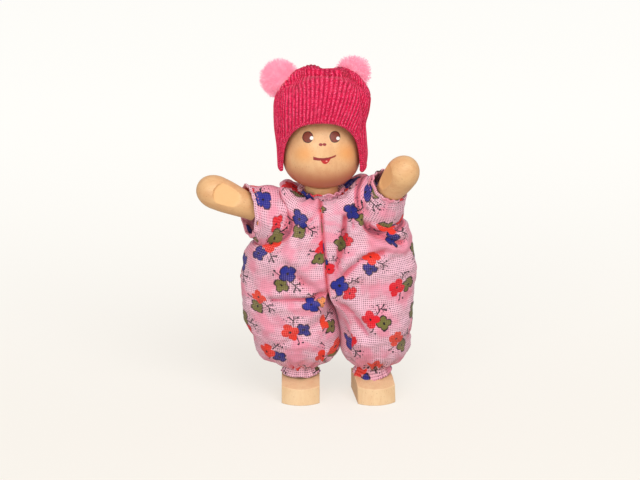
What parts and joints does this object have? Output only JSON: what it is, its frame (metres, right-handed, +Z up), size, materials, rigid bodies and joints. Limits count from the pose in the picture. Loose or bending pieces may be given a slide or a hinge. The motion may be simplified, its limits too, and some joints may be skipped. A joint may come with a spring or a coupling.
{
  "type": "dollhouse baby doll",
  "caption": "Small bendable wooden baby doll in a puffy floral romper, with a knitted pompom cap that lifts off; it stands on flat wooden feet, sits, and holds up its arms.",
  "frame": {"origin": "on the floor, under the middle of the doll's box", "axes": "+Z up; the doll faces -Y, so its own left side is at +X"},
  "size_m": [0.0622, 0.0272, 0.0987],
  "materials": {
    "wood": "bare sanded birch with a thin clear varnish",
    "face_wood": "sanded wood under clear varnish, with painted features and blushed cheeks",
    "romper_cotton": "open plain-weave cotton with a small flower print",
    "cap_knit": "fine ribbed knit",
    "pompom_wool": "fluffy cut yarn",
    "cord_cotton": "cotton wound on soft wire",
    "elastic": "gathered cotton over elastic thread"
  },
  "bodies": {
    "body": {"body_dowel": "wood", "shoulder_cord": "cord_cotton", "leg_cord_fork": "cord_cotton", "romper_front_right": "romper_cotton", "romper_front_left": "romper_cotton", "romper_back": "romper_cotton", "romper_neck_band": "elastic"},
    "head": {"head": "face_wood"},
    "cap": {"cap_knit": "cap_knit", "cap_top_seam": "cap_knit", "pompom_right": "pompom_wool", "pompom_left": "pompom_wool"},
    "shoulder_right": {"shoulder_bend_right": "cord_cotton"},
    "arm_right": {"arm_cord_right": "cord_cotton", "hand_right": "wood", "sleeve_right": "romper_cotton", "sleeve_hem_right": "romper_cotton"},
    "shoulder_left": {"shoulder_bend_left": "cord_cotton"},
    "arm_left": {"arm_cord_left": "cord_cotton", "hand_left": "wood", "sleeve_left": "romper_cotton", "sleeve_hem_left": "romper_cotton"},
    "leg_right": {"romper_leg_right": "romper_cotton", "leg_cord_right": "cord_cotton", "ankle_elastic_right": "elastic", "trouser_hem_right": "romper_cotton"},
    "foot_right": {"foot_right": "wood"},
    "leg_left": {"romper_leg_left": "romper_cotton", "leg_cord_left": "cord_cotton", "ankle_elastic_left": "elastic", "trouser_hem_left": "romper_cotton"},
    "foot_left": {"foot_left": "wood"}
  },
  "joints": [
    {"name": "head_turn", "type": "hinge", "parent": "body", "child": "head", "pos_m": [0.00375, 0.00142, 0.0699], "axis": [0, 0, 1], "range_deg": [-90, 90]},
    {"name": "cap_lift", "type": "slide", "parent": "head", "child": "cap", "axis": [0, 0, 1], "range_m": [0, 0.035]},
    {"name": "shoulder_sweep_right", "type": "hinge", "parent": "body", "child": "shoulder_right", "pos_m": [-0.00815, 0.00142, 0.0515], "axis": [0, 0, 1], "range_deg": [-26, 69], "deforming": ["sleeve_right", "sleeve_hem_right"]},
    {"name": "shoulder_raise_right", "type": "hinge", "parent": "shoulder_right", "child": "arm_right", "pos_m": [-0.00815, 0.00142, 0.0515], "axis": [-0.1045, 0.9945, 0], "range_deg": [-38, 32], "deforming": ["sleeve_right", "sleeve_hem_right"]},
    {"name": "shoulder_sweep_left", "type": "hinge", "parent": "body", "child": "shoulder_left", "pos_m": [0.01835, 0.00142, 0.0535], "axis": [0, 0, -1], "range_deg": [-77, 23], "deforming": ["sleeve_left", "sleeve_hem_left"]},
    {"name": "shoulder_raise_left", "type": "hinge", "parent": "shoulder_left", "child": "arm_left", "pos_m": [0.01835, 0.00142, 0.0535], "axis": [-0.788, -0.6157, 0], "range_deg": [-70, 8], "deforming": ["sleeve_left", "sleeve_hem_left"]},
    {"name": "hip_swing_right", "type": "hinge", "parent": "body", "child": "leg_right", "pos_m": [0.00585, 0.00142, 0.032], "axis": [-1, 0, 0], "range_deg": [-25, 90]},
    {"name": "hip_swing_left", "type": "hinge", "parent": "body", "child": "leg_left", "pos_m": [0.00585, 0.00142, 0.032], "axis": [-1, 0, 0], "range_deg": [-25, 90]},
    {"name": "ankle_turn_right", "type": "hinge", "parent": "leg_right", "child": "foot_right", "pos_m": [-0.00205, 0.00142, 0], "axis": [0, 0, -1], "range_deg": [-15, 35]},
    {"name": "ankle_turn_left", "type": "hinge", "parent": "leg_left", "child": "foot_left", "pos_m": [0.01795, 0.00142, 0], "axis": [0, 0, 1], "range_deg": [-23, 27]}
  ]
}
